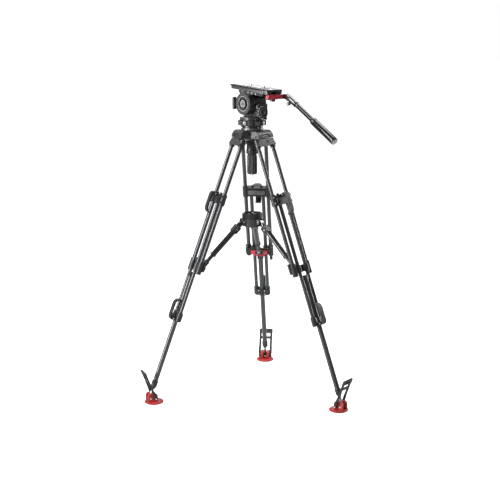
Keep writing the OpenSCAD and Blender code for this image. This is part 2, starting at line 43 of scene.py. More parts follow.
# ---------------------------------------------------------------- dimensions repeated from the CAD, in mm
LEAN = 20.4
AZ = [41.2, 161.2, 281.2]
TILT = 4.8
HR, HZ = 64.0, 1170.0
N_UP, N_MID = -5.0, 3.0
UP_T, MID_T = 52.2, 27.2
UP_R, MID_R, LOW_R = 8.6, 8.3, 11.35
C1, C2, GD = 262.0, 819.0, 632.0
PIV_N, PIV_S = -34.0, 600.0
ANK_Z = 24.0
_a = rad(LEAN)
ANK_S = (HZ + N_MID * math.sin(_a) - ANK_Z) / math.cos(_a)
ANK_R = HR + N_MID * math.cos(_a) + ANK_S * math.sin(_a)
PIV_R = HR + PIV_N * math.cos(_a) + PIV_S * math.sin(_a)
PIV_Z = HZ + PIV_N * math.sin(_a) - PIV_S * math.cos(_a)
HUB_R, HUB_Z = 46.0, 790.0
ARM_L = math.hypot(PIV_R - HUB_R, HUB_Z - PIV_Z)
ARM_DROP = math.degrees(math.atan2(HUB_Z - PIV_Z, PIV_R - HUB_R))
TILT_Z = 1311.0
PLATE_Y = -20.0


def T(x, y, z):
    return Matrix.Translation(Vector((x, y, z)) * MM)


def R(deg, axis):
    return Matrix.Rotation(rad(deg), 4, axis)


def radial(k):
    return R(AZ[k], "Z")


def leg(k):
    return radial(k) @ T(HR, 0, HZ) @ R(-LEAN, "Y")


def foot(k):
    return radial(k) @ T(ANK_R, 0, 0)


def arm(k):
    return radial(k) @ T(HUB_R, 0, HUB_Z) @ R(ARM_DROP, "Y")


TILTM = T(0, 0, TILT_Z) @ R(TILT, "X")
BARM = TILTM @ T(68, -160, 44) @ R(26.6, "X")
I4 = Matrix.Identity(4)
ALONG_X = R(90, "Y")
ALONG_Y = R(-90, "X")
DOWN = R(180, "X")

# ---------------------------------------------------------------- camera
cam_data = bpy.data.cameras.new("camera")
cam = bpy.data.objects.new("camera", cam_data)
bpy.context.scene.collection.objects.link(cam)
bpy.context.scene.camera = cam
CAM_AZ = -40.954
PITCH = 11.153
ROLL = -0.101
cam_data.sensor_width = 36.0
cam_data.lens = 1101.6 / 500 * 36.0
cam_data.clip_start, cam_data.clip_end = 0.1, 60
_t, _r = rad(PITCH), rad(ROLL)
_f = Vector((0, math.cos(_t), -math.sin(_t)))
_x = Vector((1, 0, 0))
_u = _x.cross(_f)
_x2 = math.cos(_r) * _x + math.sin(_r) * _u
_u2 = -math.sin(_r) * _x + math.cos(_r) * _u
_m = Matrix((_x2, _u2, -_f)).transposed().to_4x4()
cam.matrix_world = R(CAM_AZ, "Z") @ T(-10.18, -4863.07, 1614.45) @ _m


# ---------------------------------------------------------------- materials
def nodes_of(name):
    m = bpy.data.materials.new(name)
    m.use_nodes = True
    nt = m.node_tree
    b = nt.nodes["Principled BSDF"]
    return m, nt, b


def add(nt, kind, **inputs):
    n = nt.nodes.new(kind)
    for k, v in inputs.items():
        if k.startswith("_"):
            setattr(n, k[1:], v)
        else:
            n.inputs[k.replace("__", " ")].default_value = v
    return n


def link(nt, a, b):
    nt.links.new(a, b)


def ramp(nt, fac, stops):
    n = nt.nodes.new("ShaderNodeValToRGB")
    el = n.color_ramp.elements
    while len(el) < len(stops):
        el.new(0.5)
    for e, (p, c) in zip(el, stops):
        e.position = p
        e.color = (*c, 1) if len(c) == 3 else c
    link(nt, fac, n.inputs["Fac"])
    return n


def maprange(nt, val, a, b, c, d):
    n = nt.nodes.new("ShaderNodeMapRange")
    link(nt, val, n.inputs["Value"])
    for k, v in (("From Min", a), ("From Max", b), ("To Min", c), ("To Max", d)):
        n.inputs[k].default_value = v
    return n


def surface(
    name,
    base,
    dark=0.75,
    rough=0.45,
    rough_vary=0.10,
    metal=0.0,
    grain=1400.0,
    grain_depth=0.00004,
    mottle=35.0,
    wear=(0.16, 0.16, 0.17),
    wear_amount=0.35,
    coat=0.0,
    coat_rough=0.1,
    brushed=None,
    spec=0.5,
    grain_kind="noise",
):
    """A paint, plastic, rubber or metal finish: mottled colour, fine grain bump, worn edges, uneven sheen."""
    m, nt, b = nodes_of(name)
    tc = add(nt, "ShaderNodeTexCoord")
    big = add(nt, "ShaderNodeTexNoise", Scale=mottle, Detail=5.0, Roughness=0.6)
    link(nt, tc.outputs["Object"], big.inputs["Vector"])
    col = ramp(
        nt,
        big.outputs["Fac"],
        [(0.30, tuple(c * dark for c in base)), (0.72, tuple(min(1, c * 1.18) for c in base))],
    )
    # worn, lighter edges where the surface is sharp
    geo = add(nt, "ShaderNodeNewGeometry")
    edge = maprange(nt, geo.outputs["Pointiness"], 0.515, 0.62, 0.0, wear_amount)
    edge.clamp = True
    scr = add(nt, "ShaderNodeTexNoise", Scale=220.0, Detail=6.0, Roughness=0.7)
    link(nt, tc.outputs["Object"], scr.inputs["Vector"])
    scrm = maprange(nt, scr.outputs["Fac"], 0.38, 0.60, 0.2, 1.0)
    mul = add(nt, "ShaderNodeMath", _operation="MULTIPLY")
    link(nt, edge.outputs["Result"], mul.inputs[0])
    link(nt, scrm.outputs["Result"], mul.inputs[1])
    mix = add(nt, "ShaderNodeMix", _data_type="RGBA")
    link(nt, mul.outputs[0], mix.inputs["Factor"])
    link(nt, col.outputs["Color"], mix.inputs["A"])
    mix.inputs["B"].default_value = (*wear, 1)
    link(nt, mix.outputs["Result"], b.inputs["Base Color"])
    rv = maprange(nt, scr.outputs["Fac"], 0.3, 0.7, max(0.03, rough - rough_vary), min(1, rough + rough_vary))
    link(nt, rv.outputs["Result"], b.inputs["Roughness"])
    if grain_kind == "voronoi":
        g = add(nt, "ShaderNodeTexVoronoi", Scale=grain)
        gout = g.outputs["Distance"]
    else:
        g = add(nt, "ShaderNodeTexNoise", Scale=grain, Detail=3.0, Roughness=0.6)
        gout = g.outputs["Fac"]
    if brushed:
        mp = add(nt, "ShaderNodeMapping")
        mp.inputs["Scale"].default_value = brushed
        link(nt, tc.outputs["Object"], mp.inputs["Vector"])
        link(nt, mp.outputs["Vector"], g.inputs["Vector"])
    else:
        link(nt, tc.outputs["Object"], g.inputs["Vector"])
    bump = add(nt, "ShaderNodeBump", Strength=0.6, Distance=grain_depth)
    link(nt, gout, bump.inputs["Height"])
    link(nt, bump.outputs["Normal"], b.inputs["Normal"])
    b.inputs["Metallic"].default_value = metal
    b.inputs["Specular IOR Level"].default_value = spec
    b.inputs["Coat Weight"].default_value = coat
    b.inputs["Coat Roughness"].default_value = coat_rough
    return m


def carbon(name, cell=0.0021, lo=(0.014, 0.015, 0.017), hi=(0.050, 0.053, 0.060)):
    """Two by two twill of carbon tows under a clear coat, laid out on the tube's own UVs in metres."""
    m, nt, b = nodes_of(name)
    uv = add(nt, "ShaderNodeTexCoord")
    sc = add(nt, "ShaderNodeVectorMath", _operation="SCALE")
    sc.inputs["Scale"].default_value = 1.0 / cell
    link(nt, uv.outputs["UV"], sc.inputs[0])
    fl = add(nt, "ShaderNodeVectorMath", _operation="FLOOR")
    fr = add(nt, "ShaderNodeVectorMath", _operation="FRACTION")
    link(nt, sc.outputs[0], fl.inputs[0])
    link(nt, sc.outputs[0], fr.inputs[0])
    sf = add(nt, "ShaderNodeSeparateXYZ")
    link(nt, fl.outputs[0], sf.inputs[0])
    su = add(nt, "ShaderNodeMath", _operation="ADD")
    link(nt, sf.outputs["X"], su.inputs[0])
    link(nt, sf.outputs["Y"], su.inputs[1])
    mo = add(nt, "ShaderNodeMath", _operation="FLOORED_MODULO")
    link(nt, su.outputs[0], mo.inputs[0])
    mo.inputs[1].default_value = 4.0
    over = add(nt, "ShaderNodeMath", _operation="LESS_THAN")
    link(nt, mo.outputs[0], over.inputs[0])
    over.inputs[1].default_value = 1.5
    # each tow is rounded across its width; the rounding drives the bump, and also a painted shade that darkens the
    # colour towards each tow's edges
    sr = add(nt, "ShaderNodeSeparateXYZ")
    link(nt, fr.outputs[0], sr.inputs[0])

    def hump(sock):
        s = add(nt, "ShaderNodeMath", _operation="MULTIPLY")
        s.inputs[1].default_value = math.pi
        link(nt, sock, s.inputs[0])
        q = add(nt, "ShaderNodeMath", _operation="SINE")
        link(nt, s.outputs[0], q.inputs[0])
        return q

    hx, hy = hump(sr.outputs["X"]), hump(sr.outputs["Y"])
    hm = add(nt, "ShaderNodeMix", _data_type="FLOAT")
    link(nt, over.outputs[0], hm.inputs["Factor"])
    link(nt, hx.outputs[0], hm.inputs["A"])
    link(nt, hy.outputs[0], hm.inputs["B"])
    fib = add(nt, "ShaderNodeTexNoise", Scale=900.0, Detail=2.0)
    link(nt, uv.outputs["UV"], fib.inputs["Vector"])
    cm = add(nt, "ShaderNodeMix", _data_type="RGBA")
    link(nt, over.outputs[0], cm.inputs["Factor"])
    cm.inputs["A"].default_value = (*lo, 1)
    cm.inputs["B"].default_value = (*hi, 1)
    # painted shade: the tow colour is multiplied darker towards the edges of each tow, where the tows meet
    sh = add(nt, "ShaderNodeMix", _data_type="RGBA", _blend_type="MULTIPLY")
    sh.inputs["Factor"].default_value = 0.7
    link(nt, cm.outputs["Result"], sh.inputs["A"])
    gr = ramp(nt, hm.outputs["Result"], [(0.0, (0.25, 0.25, 0.25)), (0.6, (1, 1, 1))])
    link(nt, gr.outputs["Color"], sh.inputs["B"])
    link(nt, sh.outputs["Result"], b.inputs["Base Color"])
    bump = add(nt, "ShaderNodeBump", Strength=0.35, Distance=0.00012)
    link(nt, hm.outputs["Result"], bump.inputs["Height"])
    link(nt, bump.outputs["Normal"], b.inputs["Normal"])
    rr = maprange(nt, fib.outputs["Fac"], 0.3, 0.7, 0.30, 0.46)
    link(nt, rr.outputs["Result"], b.inputs["Roughness"])
    b.inputs["Metallic"].default_value = 0.15
    b.inputs["Coat Weight"].default_value = 0.8
    b.inputs["Coat Roughness"].default_value = 0.16
    return m


MAT = {
    "cast": surface("cast_black_paint", (0.016, 0.016, 0.017), rough=0.36, rough_vary=0.08, grain=1100.0, grain_depth=0.00009, wear=(0.13, 0.13, 0.14)),
    "cast_soft": surface("cast_satin", (0.019, 0.019, 0.020), rough=0.32, rough_vary=0.08, grain=1500.0, grain_depth=0.00005, wear=(0.2, 0.2, 0.21)),
    "satin": surface("head_satin_anodised", (0.030, 0.030, 0.032), rough=0.30, metal=0.4, grain=2600.0, grain_depth=0.00002, wear=(0.3, 0.3, 0.31)),
    "plate": surface("plate_anodised", (0.105, 0.106, 0.110), rough=0.30, rough_vary=0.05, metal=0.85, grain=900.0, grain_depth=0.00003, brushed=(3.0, 0.15, 3.0), wear=(0.5, 0.5, 0.5)),
    "plate_top": surface("plate_top_dark", (0.030, 0.030, 0.032), rough=0.30, rough_vary=0.06, grain=1800.0, grain_depth=0.00003, wear=(0.16, 0.16, 0.16)),
    "grey": surface("grey_anodised", (0.17, 0.172, 0.178), rough=0.36, metal=0.7, grain=1800.0, grain_depth=0.00002, wear=(0.6, 0.6, 0.6)),
    "lightgrey": surface("light_grey_panel", (0.40, 0.41, 0.42), dark=0.9, rough=0.42, metal=0.2, grain=2200.0, grain_depth=0.00002, wear=(0.6, 0.6, 0.6)),
    "plastic": surface("moulded_black", (0.011, 0.011, 0.0115), rough=0.52, grain=2400.0, grain_depth=0.00008, grain_kind="voronoi", wear=(0.07, 0.07, 0.07)),
    "gloss": surface("gloss_black", (0.012, 0.012, 0.013), rough=0.22, rough_vary=0.05, grain=1600.0, grain_depth=0.00001, coat=0.6, coat_rough=0.08, wear=(0.09, 0.09, 0.09)),
    "armtube": surface("arm_gloss_anodised", (0.020, 0.020, 0.022), rough=0.20, rough_vary=0.06, metal=0.35, grain=1500.0, grain_depth=0.00001, coat=0.7, coat_rough=0.07, wear=(0.2, 0.2, 0.2)),
    "hubgrey": surface("hub_grey", (0.040, 0.040, 0.043), rough=0.48, grain=2000.0, grain_depth=0.00006, wear=(0.2, 0.2, 0.2)),
    "rubber": surface("black_rubber", (0.016, 0.016, 0.016), rough=0.72, rough_vary=0.08, grain=1300.0, grain_depth=0.00010, wear=(0.05, 0.05, 0.05)),
    "grip": surface("foam_rubber_grip", (0.020, 0.020, 0.021), rough=0.60, rough_vary=0.10, grain=1600.0, grain_depth=0.00016, grain_kind="voronoi", wear=(0.05, 0.05, 0.05)),
    "redrubber": surface("red_rubber", (0.36, 0.014, 0.012), dark=0.82, rough=0.50, rough_vary=0.10, grain=1200.0, grain_depth=0.00008, wear=(0.75, 0.16, 0.16), wear_amount=0.4),
    "redplastic": surface("red_plastic", (0.50, 0.010, 0.034), dark=0.88, rough=0.34, rough_vary=0.08, grain=2400.0, grain_depth=0.00003, coat=0.25, wear=(0.85, 0.25, 0.25)),
    "steel": surface("turned_steel", (0.56, 0.56, 0.57), dark=0.85, rough=0.28, metal=1.0, grain=1600.0, grain_depth=0.00002, wear=(0.8, 0.8, 0.8)),
    "ball": surface("ball_anodised", (0.050, 0.050, 0.053), rough=0.30, metal=0.7, grain=2400.0, grain_depth=0.00002, wear=(0.4, 0.4, 0.4)),
    "white": surface("pale_mark", (0.58, 0.58, 0.57), dark=0.9, rough=0.5, grain=2400.0, grain_depth=0.00002, wear=(0.8, 0.8, 0.8)),
    # deep black for printed ticks, and as painted shade in grooves, a slit and recesses
    "black": surface("deep_black", (0.006, 0.006, 0.006), rough=0.7, grain=2400.0, grain_depth=0.00003, wear=(0.03, 0.03, 0.03)),
    "carbon": carbon("carbon_twill"),
}


# ---------------------------------------------------------------- mesh building
class Build:
    """Collects rounded solids, given in mm in a local frame, into one mesh."""

    def __init__(self, matrix=I4):
        self.m = matrix
        self.bm = bmesh.new()
        self.uv = self.bm.loops.layers.uv.new("UVMap")
        self.mats = []

    def _index(self, mat):
        if mat not in self.mats:
            self.mats.append(mat)
        return self.mats.index(mat)

    def _take(self, part, local, mat):
        """Adds a part whose vertices are in mm."""
        idx = self._index(mat)
        for f in part.faces:
            f.material_index = idx
            f.smooth = True
        bmesh.ops.recalc_face_normals(part, faces=part.faces[:])
        me = bpy.data.meshes.new("tmp")
        part.to_mesh(me)
        part.free()
        me.transform(local @ Matrix.Scale(MM, 4))
        self.bm.from_mesh(me)
        bpy.data.meshes.remove(me)
        return self

    def box(self, lo, hi, mat, bev=0.8, local=I4, seg=2, taper=None):
        b = bmesh.new()
        b.loops.layers.uv.new("UVMap")
        bmesh.ops.create_cube(b, size=1.0)
        lo, hi = Vector(lo), Vector(hi)
        c, d = (lo + hi) / 2, hi - lo
        for v in b.verts:
            v.co = Vector((v.co.x * d.x, v.co.y * d.y, v.co.z * d.z)) + c
        if taper:
            for v in b.verts:
                taper(v)
        w = min(bev, min(abs(x) for x in d) * 0.45)
        if w > 0:
            bmesh.ops.bevel(b, geom=b.edges[:], offset=w, segments=seg, profile=0.5, affect="EDGES", clamp_overlap=True)
        return self._take(b, local, mat)

    def lathe(self, prof, mat, local=I4, seg=48, closed=False):
        """Revolves (r, z) points about z. UVs are in metres, round and along."""
        b = bmesh.new()
        uv = b.loops.layers.uv.new("UVMap")
        rings = []
        for r, z in prof:
            if r < 1e-6:
                rings.append([b.verts.new((0, 0, z))])
            else:
                rings.append([b.verts.new((r * math.cos(2 * math.pi * i / seg), r * math.sin(2 * math.pi * i / seg), z)) for i in range(seg)])
        along = [0.0]
        for (r0, z0), (r1, z1) in zip(prof, prof[1:]):
            along.append(along[-1] + math.hypot(r1 - r0, z1 - z0))
        pairs = list(range(len(rings) - 1))
        rmax = max(p[0] for p in prof)
        for j in pairs:
            a, c = rings[j], rings[j + 1]
            for i in range(seg):
                n = (i + 1) % seg
                if len(a) == 1 and len(c) == 1:
                    continue
                if len(a) == 1:
                    vs, uvs = [a[0], c[n], c[i]], [(i + 0.5, j), (i + 1, j + 1), (i, j + 1)]
                elif len(c) == 1:
                    vs, uvs = [a[i], a[n], c[0]], [(i, j), (i + 1, j), (i + 0.5, j + 1)]
                else:
                    vs, uvs = [a[i], a[n], c[n], c[i]], [(i, j), (i + 1, j), (i + 1, j + 1), (i, j + 1)]
                f = b.faces.new(vs)
                for l, (p, q) in zip(f.loops, uvs):
                    l[uv].uv = (p / seg * 2 * math.pi * rmax * MM, along[q] * MM)
        return self._take(b, local, mat)

    def cyl(self, r, z0, z1, mat, local=I4, seg=40, bev=0.6):
        w = min(bev, r * 0.4, abs(z1 - z0) * 0.4)
        return self.lathe([(0, z0), (r - w, z0), (r - w * 0.3, z0 + w * 0.3), (r, z0 + w), (r, z1 - w), (r - w * 0.3, z1 - w * 0.3), (r - w, z1), (0, z1)], mat, local, seg)

    def tube(self, r0, r1, z0, z1, mat, local=I4, seg=48, bev=0.5):
        w = min(bev, (r1 - r0) * 0.35, abs(z1 - z0) * 0.4)
        pr = [(r0, z0 + w), (r0 + w, z0), (r1 - w, z0), (r1, z0 + w), (r1, z1 - w), (r1 - w, z1), (r0 + w, z1), (r0, z1 - w), (r0, z0 + w)]
        return self.lathe(pr, mat, local, seg)

    def prism(self, pts, h0, h1, mat, local=I4, bev=0.8, seg=2, corner=0.0):
        """Extrudes a polygon in x, y from z = h0 to h1, with rounded corners and softened edges."""
        b = bmesh.new()
        b.loops.layers.uv.new("UVMap")
        if corner > 0:
            pts = round_poly(pts, corner)
        lo = [b.verts.new((x, y, h0)) for x, y in pts]
        hi = [b.verts.new((x, y, h1)) for x, y in pts]
        f0 = b.faces.new(list(reversed(lo)))
        f1 = b.faces.new(hi)
        n = len(pts)
        for i in range(n):
            b.faces.new([lo[i], lo[(i + 1) % n], hi[(i + 1) % n], hi[i]])
        if bev > 0:
            rim = [e for e in b.edges if (e.verts[0] in lo) == (e.verts[1] in lo)]
            bmesh.ops.bevel(b, geom=rim, offset=bev, segments=seg, profile=0.5, affect="EDGES", clamp_overlap=True)
        return self._take(b, local, mat)

    def sweep(self, path, r, mat, local=I4, seg=16, flat=1.0):
        """A round bar along a smooth path through the given points."""
        b = bmesh.new()
        b.loops.layers.uv.new("UVMap")
        P = smooth_path([Vector(p) for p in path])
        rings = []
        up = Vector((0, 0, 1))
        for i, p in enumerate(P):
            d = (P[min(i + 1, len(P) - 1)] - P[max(i - 1, 0)]).normalized()
            if abs(d.dot(up)) > 0.95:
                up = Vector((1, 0, 0))
            x = d.cross(up).normalized()
            y = x.cross(d)
            rings.append([b.verts.new(p + x * r * math.cos(2 * math.pi * j / seg) * flat + y * r * math.sin(2 * math.pi * j / seg)) for j in range(seg)])
        for a, c in zip(rings, rings[1:]):
            for j in range(seg):
                b.faces.new([a[j], a[(j + 1) % seg], c[(j + 1) % seg], c[j]])
        b.faces.new(list(reversed(rings[0])))
        b.faces.new(rings[-1])
        return self._take(b, local, mat)

    def make(self, name, body, replaces=(), sharp=38):
        me = bpy.data.meshes.new(name)
        self.bm.to_mesh(me)
        self.bm.free()
        me.transform(self.m)
        for k in self.mats:
            me.materials.append(MAT[k])
        me.set_sharp_from_angle(angle=rad(sharp))
        o = bpy.data.objects.new(name, me)
        bpy.context.scene.collection.objects.link(o)
        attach(o, body)
        if replaces:
            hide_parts(*replaces)
        return o


def round_poly(pts, r, steps=4):
    out = []
    n = len(pts)
    for i in range(n):
        p0, p1, p2 = Vector(pts[i - 1]), Vector(pts[i]), Vector(pts[(i + 1) % n])
        a, c = (p0 - p1), (p2 - p1)
        d = min(r, a.length * 0.45, c.length * 0.45)
        a.normalize()
        c.normalize()
        s, e = p1 + a * d, p1 + c * d
        for j in range(steps + 1):
            t = j / steps
            out.append(tuple((1 - t) ** 2 * s + 2 * t * (1 - t) * p1 + t * t * e))
    return out


def smooth_path(P, steps=8):
    if len(P) < 3:
        return P
    out = []
    for i in range(len(P) - 1):
        p0, p1, p2, p3 = P[max(i - 1, 0)], P[i], P[i + 1], P[min(i + 2, len(P) - 1)]
        for j in range(steps):
            t = j / steps
            out.append(0.5 * ((2 * p1) + (p2 - p0) * t + (2 * p0 - 5 * p1 + 4 * p2 - p3) * t * t + (3 * p1 - p0 - 3 * p2 + p3) * t * t * t))
    out.append(P[-1])
    return out


def refine(node, mat, body, width=0.9, angle=32, extra=None, merge=1.6):
    """A CAD node with its edges rounded, standing for the node."""
    src = NODES[node]
    me = src.data.copy()
    me.name = node + "_look"
    bm = bmesh.new()
    bm.from_mesh(me)
    bmesh.ops.remove_doubles(bm, verts=bm.verts[:], dist=2e-6)
    bmesh.ops.dissolve_limit(bm, angle_limit=rad(merge), verts=bm.verts[:], edges=bm.edges[:])
    for f in bm.faces:
        f.smooth = True
        f.material_index = 0
    if extra:
        # faces nearer the leg's middle plane than the given distance take the second finish
        inv = extra[0].inverted()
        for f in bm.faces:
            if abs((inv @ f.calc_center_median()).y) < extra[1] * MM:
                f.material_index = 1
    bm.to_mesh(me)
    bm.free()
    me.materials.clear()
    me.materials.append(MAT[mat])
    if extra:
        me.materials.append(MAT[extra[2]])
    o = bpy.data.objects.new(node + "_look", me)
    bpy.context.scene.collection.objects.link(o)
    bev = o.modifiers.new("round", "BEVEL")
    bev.width = width * MM
    bev.segments = 2
    bev.limit_method = "ANGLE"
    bev.angle_limit = rad(angle)
    bev.use_clamp_overlap = True
    bev.harden_normals = True
    me.set_sharp_from_angle(angle=rad(angle))
    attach(o, body)
    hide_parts(node)
    return o
MAT["panel"] = surface("satin_grey_panel", (0.13, 0.131, 0.135), dark=0.85, rough=0.34, metal=0.35, grain=1800.0, grain_depth=0.00002, wear=(0.3, 0.3, 0.3))
# pale top of the camera plate: painted reflection of light at a grazing angle
MAT["inlay"] = surface("plate_inlay", (0.10, 0.10, 0.105), dark=0.9, rough=0.26, rough_vary=0.05, metal=0.3, grain=1500.0, grain_depth=0.00001, coat=0.5, coat_rough=0.15, wear=(0.5, 0.5, 0.5))
MAT["barblack"] = surface("bar_gloss_black", (0.006, 0.006, 0.0065), rough=0.16, rough_vary=0.02, grain=1500.0, grain_depth=0.000001, coat=0.0, spec=0.42, wear_amount=0.1, wear=(0.06, 0.06, 0.06))
MAT["ring"] = surface("drum_ring", (0.050, 0.050, 0.053), rough=0.32, metal=0.3, grain=1800.0, grain_depth=0.00002, wear=(0.25, 0.25, 0.25))


# ---------------------------------------------------------------- legs
def leg_tube(k, name, body, r, s0, s1, spots, replaces, seg=56):
    b = Build(leg(k))
    for n, t in spots:
        b.lathe([(0, 0), (r - 0.5, 0), (r, 0.5), (r, s1 - s0 - 0.5), (r - 0.5, s1 - s0), (0, s1 - s0)], "carbon", T(n, t, -s1), seg)
    return b.make(name, body, replaces)


for k in range(3):
    p = "leg_%d_" % (k + 1)
    LB, MB, WB = "leg_%d" % (k + 1), "middle_%d" % (k + 1), "lower_%d" % (k + 1)
    leg_tube(k, p + "upper_tubes_look", LB, UP_R, 24, 615, [(N_UP, s * UP_T) for s in (-1, 1)], [p + "upper_tubes"])
    leg_tube(k, p + "middle_tubes_look", MB, MID_R, C1 + 20, C2 + 22, [(N_MID, s * MID_T) for s in (-1, 1)], [p + "middle_tubes"])

    # lower tube: carbon tube, moulded top guide, alloy ferrule with grooves, spike and ankle pin
    b = Build(leg(k))
    b.lathe([(0, 0), (LOW_R - 0.4, 0), (LOW_R, 0.4), (LOW_R, 521.6), (0, 522)], "carbon", T(N_MID, 0, -1166), 64)
    b.box((-7.5, -14.4, -(GD + 20)), (13.5, 14.4, -(GD + 3)), "plastic", 1.6)
    b.cyl(9.5, -(GD + 4), -GD, "plastic", T(N_MID, 0, 0))
    b.lathe(
        [(0, 0), (11.2, 0), (11.6, 0.4), (12.9, 1.2), (13.6, 2.2), (13.6, 9.6), (13.0, 10.2), (13.0, 11.6), (13.6, 12.2), (13.6, 27.0), (13.0, 28.6), (12.2, 29.8), (11.5, 30), (0, 30)],
        "cast_soft", T(N_MID, 0, -1172), 56)
    b.lathe([(0, 0), (6.8, 0), (7.2, 0.3), (11.3, 7.6), (11.4, 8), (0, 8)], "cast_soft", T(N_MID, 0, -1180), 40)
    b.cyl(6.4, -(ANK_S - 6), -1180, "steel", T(N_MID, 0, 0))
    b.cyl(8.0, -8.5, 8.5, "cast_soft", T(N_MID, 0, -ANK_S) @ ALONG_Y)
    b.cyl(3.9, -20.8, 20.8, "steel", T(N_MID, 0, -ANK_S) @ ALONG_Y, 28, 0.7)
    b.make(p + "lower_tube_look", WB, [p + "lower_tube"])

    refine(p + "shoulder_bracket", "cast_soft", LB, 1.2)
    refine(p + "spreader_bracket", "cast", LB, 0.9)
    refine(p + "upper_clamp", "cast", MB, 1.2)
    refine(p + "lower_clamp", "cast", MB, 1.0)
    refine(p + "upper_lever", "plastic", "upper_lever_%d" % (k + 1), 1.8)
    refine(p + "lower_lever", "plastic", "lower_lever_%d" % (k + 1), 1.8)
    refine(p + "foot", "redrubber", "foot_%d" % (k + 1), 1.6)
    refine(p + "foot_bail", "plastic", "foot_bail_%d" % (k + 1), 1.4)
    refine(p + "spreader_inner_arm", "armtube", "inner_arm_%d" % (k + 1), 1.0)
    refine(p + "spreader_outer_arm", "armtube", "outer_arm_%d" % (k + 1), 1.0)
    refine(p + "spreader_release", "redplastic", "release_%d" % (k + 1), 1.2, extra=(leg(k), 19.0, "plastic"))

# ---------------------------------------------------------------- spider, hub and head
refine("spider_bowl", "cast_soft", "spider", 1.2)
refine("hinge_bolts", "cast", "spider", 0.6)
refine("spreader_hub", "hubgrey", "hub", 1.0)
refine("half_ball", "ball", "ball", 0.6)
refine("tie_down_handle", "grip", "tie_down", 1.2)
refine("pan_drag_ring", "rubber", "pan_ring", 1.2)
refine("pan_housing", "satin", "pan", 1.5)
refine("pan_brake_lever", "plastic", "pan_brake", 0.8)
refine("tilt_cradle", "satin", "tilt", 1.2)
refine("tilt_drag_dial", "rubber", "tilt_dial", 0.7)
refine("counterbalance_knob", "rubber", "counterbalance", 0.8)
refine("tilt_brake_lever", "ring", "tilt_brake", 1.4)
refine("camera_screws", "steel", "plate", 0.3)
refine("plate_release_lever", "redplastic", "plate_lever", 1.8)
refine("pan_bar_clamp", "gloss", "bar_clamp", 1.0)


# ---------------------------------------------------------------- small parts on the legs
def screw(b, r, mat, local, socket=0.45, h=1.6):
    """A cap screw head standing on z = 0 of its frame, with a socket."""
    b.lathe([(0, h - 0.9), (r * socket, h - 0.9), (r * socket, h), (r - 0.5, h), (r, h - 0.5), (r, 0), (0, 0)], mat, local, 28)


